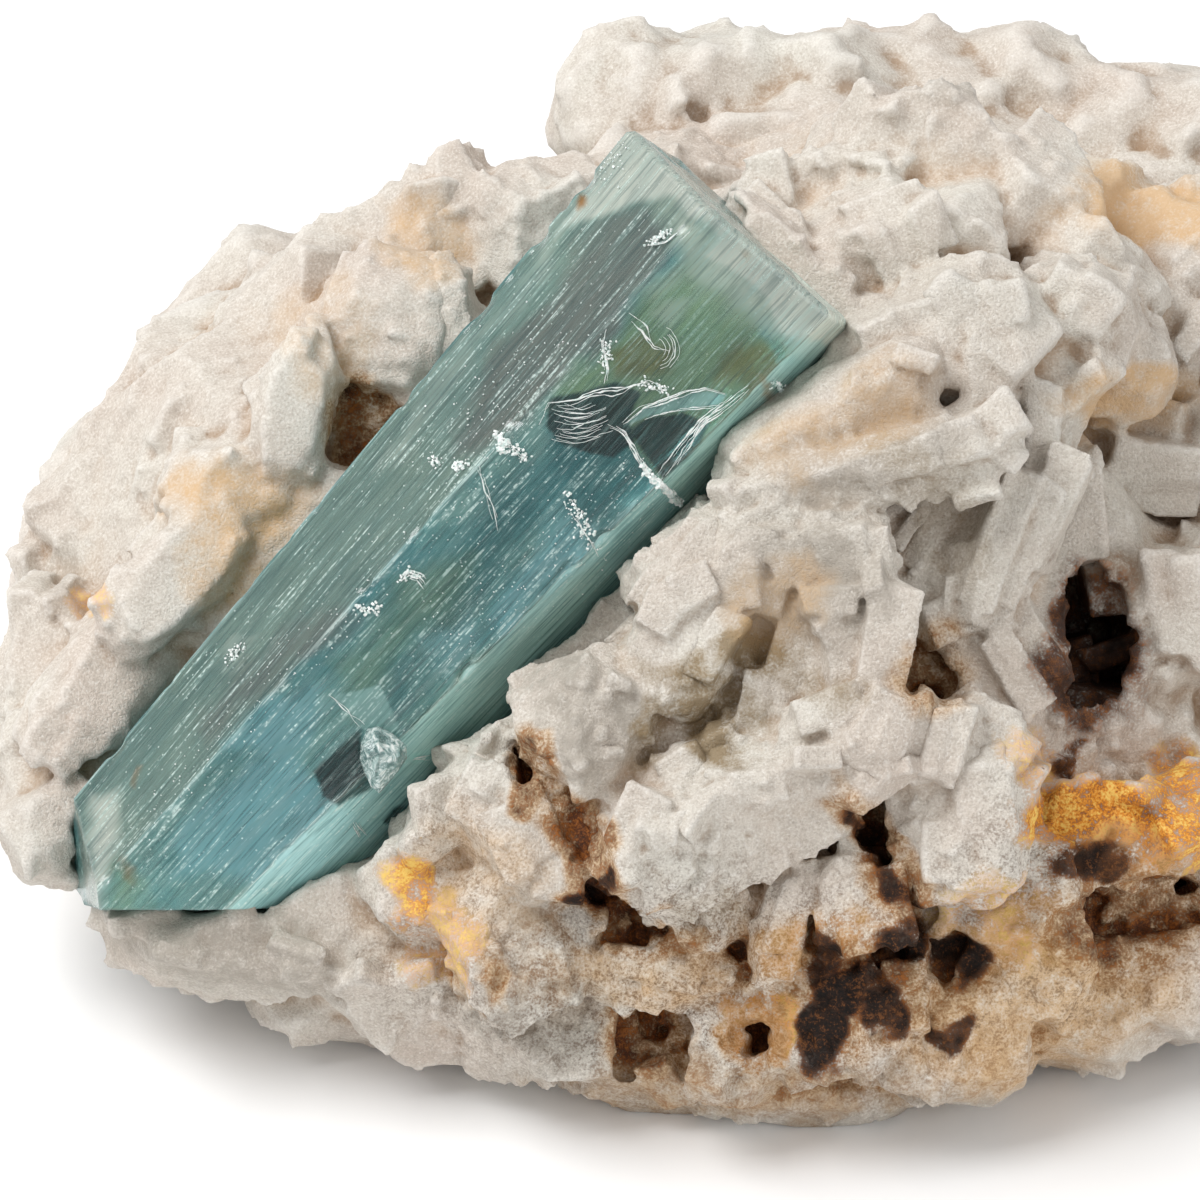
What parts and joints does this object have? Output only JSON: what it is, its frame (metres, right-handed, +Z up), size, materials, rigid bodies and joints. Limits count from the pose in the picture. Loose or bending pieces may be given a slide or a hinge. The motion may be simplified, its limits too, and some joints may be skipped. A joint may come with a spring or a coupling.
{
  "type": "aquamarine crystal on albite matrix",
  "caption": "Hand specimen: a striated, see-through six-sided aquamarine prism lies slantwise on a lumpy white albite matrix with iron stains, which rests on a flat cut.",
  "frame": {"origin": "middle of the sawn base, on the surface it rests on", "axes": "+X along the specimen's length, to the right seen from the show face; +Y away from the show face; +Z up"},
  "size_m": [0.0928, 0.0632, 0.0487],
  "materials": {
    "albite": "sugary, matt to dull, white with brown and ochre stains in its hollows",
    "aquamarine": "glassy, striated lengthwise, see-through blue-green",
    "quartz": "clear to whitish, fractured"
  },
  "bodies": {
    "root": {"albite_matrix": "albite", "aquamarine_crystal": "aquamarine", "quartz_chip": "quartz"}
  },
  "joints": []
}
